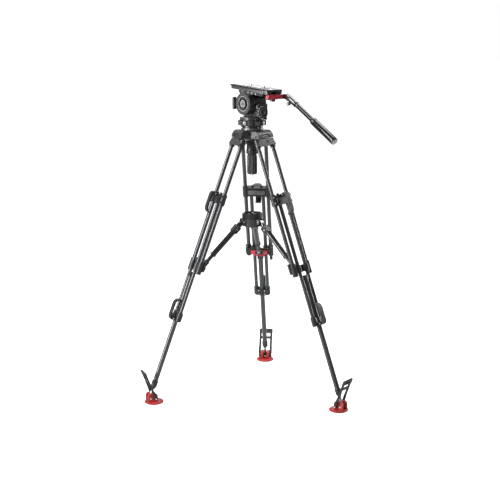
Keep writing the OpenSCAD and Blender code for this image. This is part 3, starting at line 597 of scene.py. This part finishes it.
OUT = ALONG_X  # z of the part along +n
IN = R(-90, "Y")
for k in range(3):
    p = "leg_%d_" % (k + 1)
    LB, MB = "leg_%d" % (k + 1), "middle_%d" % (k + 1)
    # clamp face: a pale satin panel set in a dark frame
    b = Build(leg(k) @ T(-17.4, 0, -(C1 + 25)) @ R(-90, "Y"))
    b.prism([(-12.2, -41), (12.2, -41), (12.2, 41), (-12.2, 41)], 0, 0.7, "gloss", corner=8, bev=0.25)
    b.prism([(-10.2, -38.5), (10.2, -38.5), (10.2, 38.5), (-10.2, 38.5)], 0.5, 1.3, "panel", corner=7, bev=0.3)
    b.make(p + "clamp_panel", MB)
    b = Build(leg(k))
    for t in (-14, 14):
        for s in (11, 30):
            screw(b, 3.0, "steel", T(-13.9, t, -(C2 + s)) @ IN, 0.5, 1.2)
    for t in (-1, 1):
        b.tube(11.2, 13.0, -1.2, 0.2, "gloss", T(N_MID, t * MID_T, -C2) @ T(0, 0, 1.0), 40, 0.3)
        screw(b, 3.2, "steel", T(22, t * 18.9, -(C2 + 33)) @ R(-90 * t, "X"), 0.5, 1.0)
        screw(b, 3.2, "steel", T(22, t * 18.9, -(C1 + 9)) @ R(-90 * t, "X"), 0.5, 1.0)
        screw(b, 3.0, "steel", T(-14.9, t * 47, -(C1 + 41)) @ IN, 0.5, 1.0)
    b.make(p + "clamp_screws", MB)
    # shoulder: dark recessed fixing, collar rims and pinch screws
    b = Build(leg(k))
    b.tube(4.6, 7.4, 0, 0.9, "gloss", T(8.3, 8, -27) @ OUT, 40, 0.3)
    screw(b, 4.4, "black", T(8.3, 8, -27) @ OUT, 0.55, 0.7)
    for t in (-1, 1):
        b.tube(8.9, 12.3, -1.2, 0, "gloss", T(N_UP, t * UP_T, -50), 44, 0.4)
        screw(b, 2.6, "steel", T(-16.9, t * 38, -23) @ IN, 0.5, 1.0)
        screw(b, 2.6, "steel", T(-16.9, t * 38, -34) @ IN, 0.5, 1.0)
        b.tube(8.9, 12.3, 0, 1.2, "gloss", T(N_UP, t * UP_T, -575), 44, 0.4)
        screw(b, 4.2, "steel", T(PIV_N, t * 15.9, -PIV_S) @ R(-90 * t, "X"), 0.5, 1.4)
        screw(b, 2.4, "steel", T(-24, t * 59.5, -576) @ IN, 0.5, 0.8)
    b.make(p + "bracket_screws", LB)
    # levers: moulded grip ribs down the outside
    for nm, c0, sg in (("upper_lever", C1, 1), ("lower_lever", C2, -1)):
        b = Build(leg(k))
        base = c0 + (44 if sg > 0 else -3)
        for i in range(8):
            s = base + sg * (i * 4.2 - 14)
            b.box((40.2, -9.5, -(s + 1.0)), (41.2, 9.5, -(s - 1.0)), "plastic", 0.45)
        b.make(p + nm + "_ribs", "%s_%d" % (nm, k + 1))
    # spreader arm: button, end rings and screws
    b = Build(arm(k))
    for t in (-1, 1):
        screw(b, 3.4, "steel", T(47, t * 16.4, 0) @ R(-90 * t, "X"), 0.5, 1.0)
        screw(b, 2.2, "steel", T(36, t * 16.4, 6) @ R(-90 * t, "X"), 0.5, 0.8)
    b.prism([(36, -8), (58, -8), (58, 8), (36, 8)], -13.6, -12.4, "gloss", corner=4, bev=0.4)
    b.tube(12.0, 13.9, 0, 4, "gloss", T(64.2, 0, 0) @ ALONG_X, 44, 0.5)
    for i in range(3):
        b.tube(13.3, 13.9, 0, 1.6, "plastic", T(194.6 + i * 3.4, 0, 0) @ ALONG_X, 44, 0.3)
    b.make(p + "inner_arm_fittings", "inner_arm_%d" % (k + 1))
    b = Build(arm(k))
    for t in (-1, 1):
        screw(b, 2.8, "steel", T(ARM_L - 24, t * 9.5, 0) @ R(-90 * t, "X"), 0.5, 0.9)
    b.lathe([(0, 0), (4.6, 0), (5.0, 0.4), (5.0, 2.0), (4.4, 2.6), (0, 2.8)], "steel", T(ARM_L - 18, 0, -9.2) @ DOWN, 32)
    b.make(p + "outer_arm_fittings", "outer_arm_%d" % (k + 1))
    # foot: tread, step rings, pale pin ends
    b = Build(foot(k) @ T(-20, 0, 0))
    for r0 in (40.4, 36.0):
        b.tube(r0 - 1.0, r0 + 0.6, 4.2 if r0 > 38 else 9.0, 6.0 if r0 > 38 else 10.2, "redrubber", seg=72, bev=0.5)
    for i in range(24):
        b.box((30.5, -1.4, 9.6), (37.5, 1.4, 11.2), "redrubber", 0.5, R(i * 15, "Z"))
    for t in (-1, 1):
        b.lathe([(0, 0), (3.4, 0), (3.8, 0.4), (3.8, 1.0), (3.2, 1.5), (1.6, 1.5), (1.4, 0.9), (0, 0.9)], "white", T(0, t * 32.25, 24) @ R(-90 * t, "X"), 28)
        b.lathe([(0, 0), (3.4, 0), (3.8, 0.4), (3.8, 0.9), (3.2, 1.3), (0, 1.4)], "white", T(20, t * 20.45, 24) @ R(-90 * t, "X"), 28)
    b.make(p + "foot_tread", "foot_%d" % (k + 1))
    b = Build(foot(k) @ T(-20, 0, ANK_Z) @ R(21, "Y"))
    b.cyl(3.3, -30, 30, "plastic", T(2, 0, 131.5) @ ALONG_Y, 28, 1.0)
    for t in (-1, 1):
        b.box((3.4, t * 27 - 1.4, 14), (5.0, t * 27 + 1.4, 80), "plastic", 0.5)
        b.prism([(-6.5, 10), (6.5, 10), (4.2, 44), (-4.2, 44)], -0.9, 0.9, "plastic", T(0, t * 32.0, 0) @ R(90, "X"), 0.4, corner=2)
    for i in range(6):
        b.box((4.6, -26, 114.5 + i * 2.6), (5.8, 26, 115.8 + i * 2.6), "plastic", 0.4)
    b.make(p + "bail_ribs", "foot_bail_%d" % (k + 1))

# ---------------------------------------------------------------- hub and tie down
b = Build()
b.tube(43.2, 44.4, 800, 824, "plastic", seg=96, bev=0.5)
for i in range(48):
    b.box((43.9, -1.0, 802), (45.0, 1.0, 822), "plastic", 0.4, R(i * 7.5, "Z"))
b.tube(38.2, 43.0, 824, 826.6, "gloss", seg=96, bev=0.6)
b.lathe([(0, 826), (4.4, 826), (5.6, 824.6), (5.6, 813), (11.6, 811.2), (11.8, 809), (0, 809)], "steel", seg=36)
for k in range(3):
    for t in (-1, 1):
        screw(b, 4.2, "steel", radial(k) @ T(46, t * 18.9, 790) @ R(-90 * t, "X"), 0.5, 1.0)
b.make("hub_band", "hub")

b = Build()
b.tube(24.0, 25.2, 1107.5, 1112, "gloss", seg=64, bev=0.5)
b.tube(23.8, 24.8, 1143, 1147, "gloss", seg=64, bev=0.4)
for i in range(36):
    b.box((24.2, -0.9, 1092.5), (26.2, 0.9, 1104.5), "plastic", 0.35, R(i * 10, "Z"))
for i in range(6):
    b.box((21.6, -2.0, 1006), (23.2, 2.0, 1080), "gloss", 0.6, R(i * 60, "Z"))
b.lathe([(0, 0), (9, 0), (9.6, 0.6), (9.6, 2.4), (0, 2.8)], "steel", T(0, 0, 1000) @ DOWN, 32)
b.make("tie_down_trim", "tie_down")

# ---------------------------------------------------------------- base of the head
b = Build()
b.tube(47.6, 48.7, 1199, 1204, "grey", seg=96, bev=0.4)
b.tube(47.6, 48.4, 1208.5, 1209.7, "gloss", seg=96, bev=0.3)
for i, an in enumerate((-150, -96, -62, -20, 40, 100, 160)):
    screw(b, 3.0, "white" if i % 2 else "steel", R(an, "Z") @ T(47.7, 0, 1207 + (i % 3)) @ ALONG_X, 0.5, 1.0)
b.make("ball_neck_trim", "ball")

b = Build()
for i in range(12):
    m = R(i * 30 + 15, "Z")
    b.prism([(-7.6, -7.8), (7.6, -7.8), (6.6, 7.8), (-6.6, 7.8)], 0, 1.1, "grey" if i % 3 != 1 else "satin", m @ T(60.4, 0, 1227.2) @ R(90, "Z") @ R(90, "X"), 0.4, corner=2.5)
    for z in (-5.2, -1.7, 1.8, 5.3):
        b.box((61.2, -4.6, 1227.2 + z), (62.1, 4.6, 1228.2 + z), "plastic", 0.3, m)
b.tube(45.9, 60.0, 1236.6, 1238.2, "plastic", seg=96, bev=0.5)
b.make("pan_ring_pads", "pan_ring")

b = Build()
b.tube(52.3, 53.1, 1240.2, 1251.2, "plastic", seg=96, bev=0.3)
for i in range(36):
    if i % 4 == 3:
        continue
    b.box((52.9, -2.6, 1241.6), (53.6, 2.6, 1249.6), "grey" if i % 2 else "satin", 0.35, R(i * 10 - 4, "Z"))
# cast bosses, covers and screws on the housing
b.prism([(-34, 1258), (34, 1258), (34, 1300), (22, 1322), (-22, 1322), (-34, 1300)], 37.6, 39.2, "satin", R(90, "Z") @ R(90, "X"), 0.8, corner=6)
for y, z in ((-27, 1263), (27, 1263), (-27, 1300), (27, 1300)):
    screw(b, 3.0, "steel", T(39.0, y, z) @ ALONG_X, 0.5, 1.0)
for z0 in (1262, 1272, 1282, 1292):
    b.box((-17.9, -60.4, z0), (-16.6, -38, z0 + 3.2), "grey", 0.5)
    b.box((35.6, -60.0, z0), (36.9, -40, z0 + 3.2), "satin", 0.5)
b.box((-17.8, -36, 1256), (-16.4, -20, 1290), "cast_soft", 0.6)
b.lathe([(0, 0), (7, 0), (7.6, 0.6), (7.6, 2.0), (6.4, 2.8), (3.0, 2.8), (2.8, 2.0), (0, 2.0)], "grey", T(-17, -48, 1299) @ R(-90, "Y"), 36)
b.make("housing_trim", "pan")

# drag dial: pale raised marks and rim ribs
b = Build(T(-31.7, 0, TILT_Z))
for i in range(24):
    b.box((1.4, -1.0, 45.0), (9.6, 1.0, 46.2), "grey" if i % 2 else "plastic", 0.4, R(15 * i + 7.5, "X"))
b.make("dial_ribs", "tilt_dial")
b = Build(T(0, -61.4, 1275) @ R(90, "X"))
for i in range(12):
    for j in (-5, 0, 5):
        b.box((25.4, -0.8, 3.6), (26.7, 0.8, 13.4), "lightgrey" if j == 0 else "grey", 0.35, R(i * 30 + 15 + j, "Z"))
b.lathe([(0, 14.8), (8, 14.8), (9, 14.2), (17, 14.2), (18, 14.9), (21, 14.9), (22, 14.0), (22, 13.4), (0, 13.4)], "satin", seg=64)
b.make("counterbalance_ribs", "counterbalance")

# ---------------------------------------------------------------- tilt drum, rosette and platform
b = Build(TILTM @ T(-53, 0, 0) @ R(-90, "Y"))
b.tube(33.6, 46.6, -0.4, 0.9, "ring", seg=96, bev=0.5)
b.tube(31.2, 33.2, -8.6, 1.3, "lightgrey", seg=96, bev=0.6)
# painted shade: the deep-black floor of the recess between the wall and the hub
b.tube(17.2, 31.6, -8.9, -8.2, "black", seg=96, bev=0.2)
b.tube(9.2, 16.8, -0.6, 0.8, "grey", seg=72, bev=0.3)
for i in range(24):
    b.box((9.6, -0.75, 0.4), (16.4, 0.75, 2.0), "lightgrey", 0.4, R(i * 15, "Z"))
b.lathe([(0, 2.2), (3.6, 2.2), (3.6, 3.2), (7.6, 3.2), (8.2, 2.6), (8.2, -0.4), (0, -0.4)], "steel", seg=40)
for i in range(12):
    b.box((39.4, -0.45, 0.6), (44.6 if i % 3 == 0 else 42.6, 0.45, 1.3), "black", 0.15, R(i * 30, "Z"))
b.make("rosette", "tilt")

b = Build(TILTM)
b.lathe([(0, 0), (7.5, 0), (8.3, 0.8), (8.3, 2.6), (7.5, 3.3), (3.2, 3.3), (3.0, 2.4), (0, 2.4)], "grey", T(-43.2, 14, 50.5) @ R(-90, "Y"), 40)
for x0, y0, hh in ((-46, -20, 9), (-46, -44, 8), (-46, -70, 9)):
    b.prism([(-7, -5), (7, -5), (5, 5), (-5, 5)], 0, 2.2, "grey", T(x0 + 1.8, y0, 50.6) @ R(-90, "Y") @ R(90, "Z"), 0.5, corner=2)
for t in (-100, -60, 30):
    screw(b, 3.2, "steel", T(50, t, 51) @ ALONG_X, 0.5, 1.0)
b.tube(12.6, 13.8, 0, 1.2, "grey", T(52, -98, 42) @ T(-1.4, 0, 0) @ ALONG_X, 44, 0.3)
b.box((-30, -115.8, 55.2), (30, -109, 56.2), "cast_soft", 0.4)
b.make("platform_trim", "tilt")

b = Build(T(-62, 55, 1312.5) @ R(-90, "Y"))
b.prism([(-20, -4.4), (20, -4.4), (20, 4.4), (-20, 4.4)], -0.5, 0.5, "ring", corner=4, bev=0.3)
for i in range(6):
    b.box((-14 + i * 5.2, -3.6, 0.3), (-12.6 + i * 5.2, 3.6, 1.0), "cast_soft", 0.25)
b.make("tilt_brake_pad", "tilt_brake")


# ---------------------------------------------------------------- camera plate
b = Build(TILTM @ T(0, PLATE_Y, 0))
SIDE = R(90, "X")
b.prism(
    [(-43, 56.4), (-14.6, 56.4), (-14.6, 61.7), (-20.6, 61.7), (-20.6, 66.5), (20.6, 66.5), (20.6, 61.7), (14.6, 61.7), (14.6, 56.4), (43, 56.4), (43, 69.4), (-43, 69.4)],
    -119.6, 120.9, "plate", SIDE, 0.5)
b.prism([(-45, -122), (45, -122), (45, 122), (-45, 122)], 69.2, 74.6, "gloss", corner=3.5, bev=0.6)
# pale bearing surface, divided by the two screw slots and two long grooves; the pale tone is painted reflection of
# light at a grazing angle
for x0, x1 in ((-43.2, -39.2), (-28.8, -7.2), (7.2, 28.8), (39.2, 43.2)):
    b.prism([(x0, -119.8), (x1, -119.8), (x1, 119.8), (x0, 119.8)], 74.2, 75.95, "inlay", corner=1.2, bev=0.35)
for y0, y1 in ((-119.8, -85.5), (-38.5, 16.5), (63.5, 119.8)):
    b.prism([(-7.4, y0), (7.4, y0), (7.4, y1), (-7.4, y1)], 74.2, 75.95, "inlay", corner=1.2, bev=0.35)
# side grooves, scale marks and end blocks; the grooves are thin deep-black strips standing proud of the side, painted
# shade in place of cut grooves
for s in (-1, 1):
    # painted shade: two black strips for each side groove
    b.box((s * 43.25 - 0.35, -104, 66.4), (s * 43.25 + 0.35, 104, 67.2), "black", 0.15)
    b.box((s * 43.25 - 0.35, -104, 58.4), (s * 43.25 + 0.35, 104, 59.0), "black", 0.15)
    for i in range(21):
        h = 2.6 if i % 5 == 0 else 1.5
        b.box((s * 43.2 - 0.25, -60 + i * 6 - 0.35, 60.4), (s * 43.2 + 0.25, -60 + i * 6 + 0.35, 60.4 + h), "lightgrey", 0.1)
    b.prism([(112, 57.2), (120.2, 57.2), (120.2, 68.4), (112, 68.4)], 0, 1.2, "lightgrey", T(s * 42.9, 0, 0) @ R(90, "Z") @ R(90, "X") if s > 0 else T(-44.1, 0, 0) @ R(90, "Z") @ R(90, "X"), 0.4, corner=1.5)
    b.prism([(-118, 57.6), (-96, 57.6), (-96, 65.6), (-118, 65.6)], 0, 0.7, "plate", T(s * 42.9, 0, 0) @ R(90, "Z") @ R(90, "X") if s > 0 else T(-43.6, 0, 0) @ R(90, "Z") @ R(90, "X"), 0.3, corner=1.5)
    for y in (-88, -30, 84):
        b.lathe([(0, 0), (2.2, 0), (2.2, 0.8), (3.0, 0.8), (3.3, 0.5), (3.3, -0.4), (0, -0.4)], "steel", T(s * 43.0, y, 63.0) @ R(90 * s, "Y"), 24)
# rear face with its frame, and the small stop latch on top; the recessed face is drawn as deep-black sheets standing
# proud of the frame, painted shade for the recess
b.box((-42.4, -121.0, 57.2), (-21.4, -119.2, 68.8), "gloss", 0.5)
b.box((21.4, -121.0, 57.2), (42.4, -119.2, 68.8), "gloss", 0.5)
b.box((-22.0, -121.0, 67.0), (22.0, -119.2, 68.8), "gloss", 0.4)
# painted shade: black sheets where the recessed rear face lies in shade
b.box((-37, -121.4, 59.2), (-22, -120.6, 67.0), "black", 0.3)
b.box((22, -121.4, 59.2), (37, -120.6, 67.0), "black", 0.3)
b.make("camera_plate_look", "plate", ["camera_plate"])

# ---------------------------------------------------------------- pan bar
L = 331.0 - 170.0
b = Build(BARM @ T(0, -170, 0) @ R(90, "X"))
b.lathe(
    [(0, 0), (10.9, 0), (11.9, 0.8), (13.0, 3.4), (15.9, 7.4), (16.1, 9), (16.1, 20.6), (15.4, 21.4), (15.4, 24.0), (16.4, 24.8), (16.6, 26),
     (16.6, L - 24), (15.8, L - 23), (15.8, L - 20.6), (16.6, L - 19.6), (16.6, L - 9), (16.0, L - 4), (15.3, L - 2.2), (14.6, L - 1.6), (0, L - 1.6)],
    "barblack", seg=72)
for z in (11.0, 14.4, 17.8):
    b.tube(15.6, 16.45, z, z + 1.6, "gloss", seg=72, bev=0.4)
b.lathe([(0, L - 1.8), (13.2, L - 1.8), (13.2, L - 0.7), (12.5, L), (4.6, L), (4.2, L - 0.8), (0, L - 0.8)], "lightgrey", seg=56)
b.make("pan_bar_grip_look", "bar", ["pan_bar_grip"])

b = Build(BARM @ T(0, 14, 0) @ R(90, "X"))
b.lathe([(0, 0), (10.0, 0), (10.5, 0.5), (10.5, 183.7), (10.2, 184), (0, 184)], "barblack", seg=64)
for z in (78.0, 80.6):
    b.tube(10.3, 10.62, z, z + 0.9, "grey", seg=64, bev=0.1)
b.make("pan_bar_tube_look", "bar", ["pan_bar_tube"])

# clamp: slit, pinch screw and the small pale-centred knob; the slit is a deep-black slab, painted shade in place of a
# cut
b = Build(BARM)
# painted shade: black slab standing for the slit
b.box((-14.9, -13.6, -0.9), (-9.6, 5.4, 0.9), "black", 0.2)
b.tube(10.7, 13.6, -6.6, -5.4, "gloss", T(0, 0, 0) @ R(90, "X"), 56, 0.3)
b.tube(10.7, 13.6, 54.0, 56.4, "gloss", T(0, 0, 0) @ R(90, "X"), 56, 0.4)
b.lathe([(0, 0), (7.2, 0), (8.0, 0.8), (8.0, 2.0), (7.2, 2.8), (4.8, 2.8), (4.6, 2.0), (0, 2.0)], "gloss", T(-5.4, -16, -23) @ R(-90, "Y"), 40)
b.lathe([(0, 0), (3.9, 0), (4.3, 0.4), (4.3, 1.2), (0, 1.7)], "white", T(-7.2, -16, -23) @ R(-90, "Y"), 32)
screw(b, 3.4, "steel", T(-14.3, -4, 6.0) @ R(-90, "Y"), 0.5, 1.1)
b.make("bar_clamp_trim", "bar_clamp")
b = Build(TILTM)
b.prism([(-157, 38), (-100, 38), (-100, 48), (-157, 48)], 0, 0.8, "gloss", T(52.75, 0, 0) @ R(90, "Z") @ R(90, "X"), 0.3, corner=4)
b.lathe([(0, 0), (8.2, 0), (9.0, 0.8), (9.0, 2.2), (8.0, 3.0), (4.0, 3.0), (3.8, 2.0), (0, 2.0)], "grey", T(68, -98, 42) @ ALONG_X, 40)
b.box((54.2, -150.4, 55.4), (58.3, -135.6, 56.6), "gloss", 0.5)
b.make("bar_arm_trim", "bar_clamp")

# plate release: rib, wing edges and knurled thumb knob
b = Build(TILTM)
b.lathe([(0, 0), (8.8, 0), (10.0, 1.0), (10.2, 3.0), (10.2, 10.6), (9.4, 12), (0, 12)], "plastic", T(2, -131, 25) , 44)
for i in range(18):
    b.box((9.9, -0.8, 2.2), (10.8, 0.8, 10.6), "gloss", 0.3, T(2, -131, 25) @ R(i * 20, "Z"))
for z in (40.4, 52.0):
    b.box((-36, -150.7, z), (40, -149.8, z + 1.1), "redplastic", 0.4)
b.prism([(-30, 42.6), (34, 42.6), (34, 50.6), (-30, 50.6)], 0, 0.5, "redplastic", T(0, -150.0, 0) @ R(90, "X"), 0.2, corner=3)
b.make("release_trim", "plate_lever")


# ---------------------------------------------------------------- floor and light
def floor():
    m, nt, b = nodes_of("studio_floor")
    tc = add(nt, "ShaderNodeTexCoord")
    n = add(nt, "ShaderNodeTexNoise", Scale=3.0, Detail=4.0)
    link(nt, tc.outputs["Object"], n.inputs["Vector"])
    c = ramp(nt, n.outputs["Fac"], [(0.3, (0.56, 0.56, 0.56)), (0.7, (0.60, 0.60, 0.60))])
    link(nt, c.outputs["Color"], b.inputs["Base Color"])
    b.inputs["Roughness"].default_value = 0.9
    b.inputs["Specular IOR Level"].default_value = 0.1
    lp = add(nt, "ShaderNodeLightPath")
    em = add(nt, "ShaderNodeEmission", Strength=1.0)
    none = add(nt, "ShaderNodeEmission", Strength=0.0)
    mx, ad = add(nt, "ShaderNodeMixShader"), add(nt, "ShaderNodeAddShader")
    link(nt, lp.outputs["Is Camera Ray"], mx.inputs[0])
    link(nt, none.outputs[0], mx.inputs[1])
    link(nt, em.outputs[0], mx.inputs[2])
    link(nt, b.outputs[0], ad.inputs[0])
    link(nt, mx.outputs[0], ad.inputs[1])
    link(nt, ad.outputs[0], nt.nodes["Material Output"].inputs["Surface"])
    bm = bmesh.new()
    bmesh.ops.create_circle(bm, cap_ends=True, radius=60, segments=96)
    me = bpy.data.meshes.new("studio_floor")
    bm.to_mesh(me)
    bm.free()
    me.materials.append(m)
    o = bpy.data.objects.new("studio_floor", me)
    o.location = (0, 0, -0.0005)
    bpy.context.scene.collection.objects.link(o)


floor()

world = bpy.data.worlds.new("studio")
bpy.context.scene.world = world
world.use_nodes = True
wt = world.node_tree
bg = wt.nodes["Background"]
bg.inputs["Color"].default_value = (1, 1, 1, 1)
bg.inputs["Strength"].default_value = 0.27
seen = add(wt, "ShaderNodeBackground")
seen.inputs["Color"].default_value = (1, 1, 1, 1)
seen.inputs["Strength"].default_value = 1.0
lp = add(wt, "ShaderNodeLightPath")
mx = add(wt, "ShaderNodeMixShader")
link(wt, lp.outputs["Is Camera Ray"], mx.inputs[0])
link(wt, bg.outputs[0], mx.inputs[1])
link(wt, seen.outputs[0], mx.inputs[2])
link(wt, mx.outputs[0], wt.nodes["World Output"].inputs["Surface"])
bpy.context.scene.view_settings.view_transform = "Standard"


def area(name, at, to, size, power, color=(1, 1, 1)):
    """A soft box. Places are given right, away and up from the camera's side, turned to the object's frame."""
    d = bpy.data.lights.new(name, "AREA")
    d.shape = "RECTANGLE"
    d.size, d.size_y = size
    d.energy = power
    d.color = color
    o = bpy.data.objects.new(name, d)
    bpy.context.scene.collection.objects.link(o)
    rz = R(CAM_AZ, "Z")
    a, t = rz @ Vector(at), rz @ Vector(to)
    o.location = a
    o.rotation_euler = (t - a).to_track_quat("-Z", "Y").to_euler()
    return o


area("key_left", (-2.7, -1.5, 1.9), (0, 0, 0.75), (1.2, 3.0), 190)
area("top", (0.0, 0.8, 3.4), (0, 0, 0.9), (2.2, 1.6), 90)
area("rim_right", (2.6, 1.6, 1.6), (0, 0, 0.8), (0.4, 2.6), 55)
area("back_low", (0.0, 3.4, 1.75), (0, 0, 1.1), (2.6, 0.9), 20)
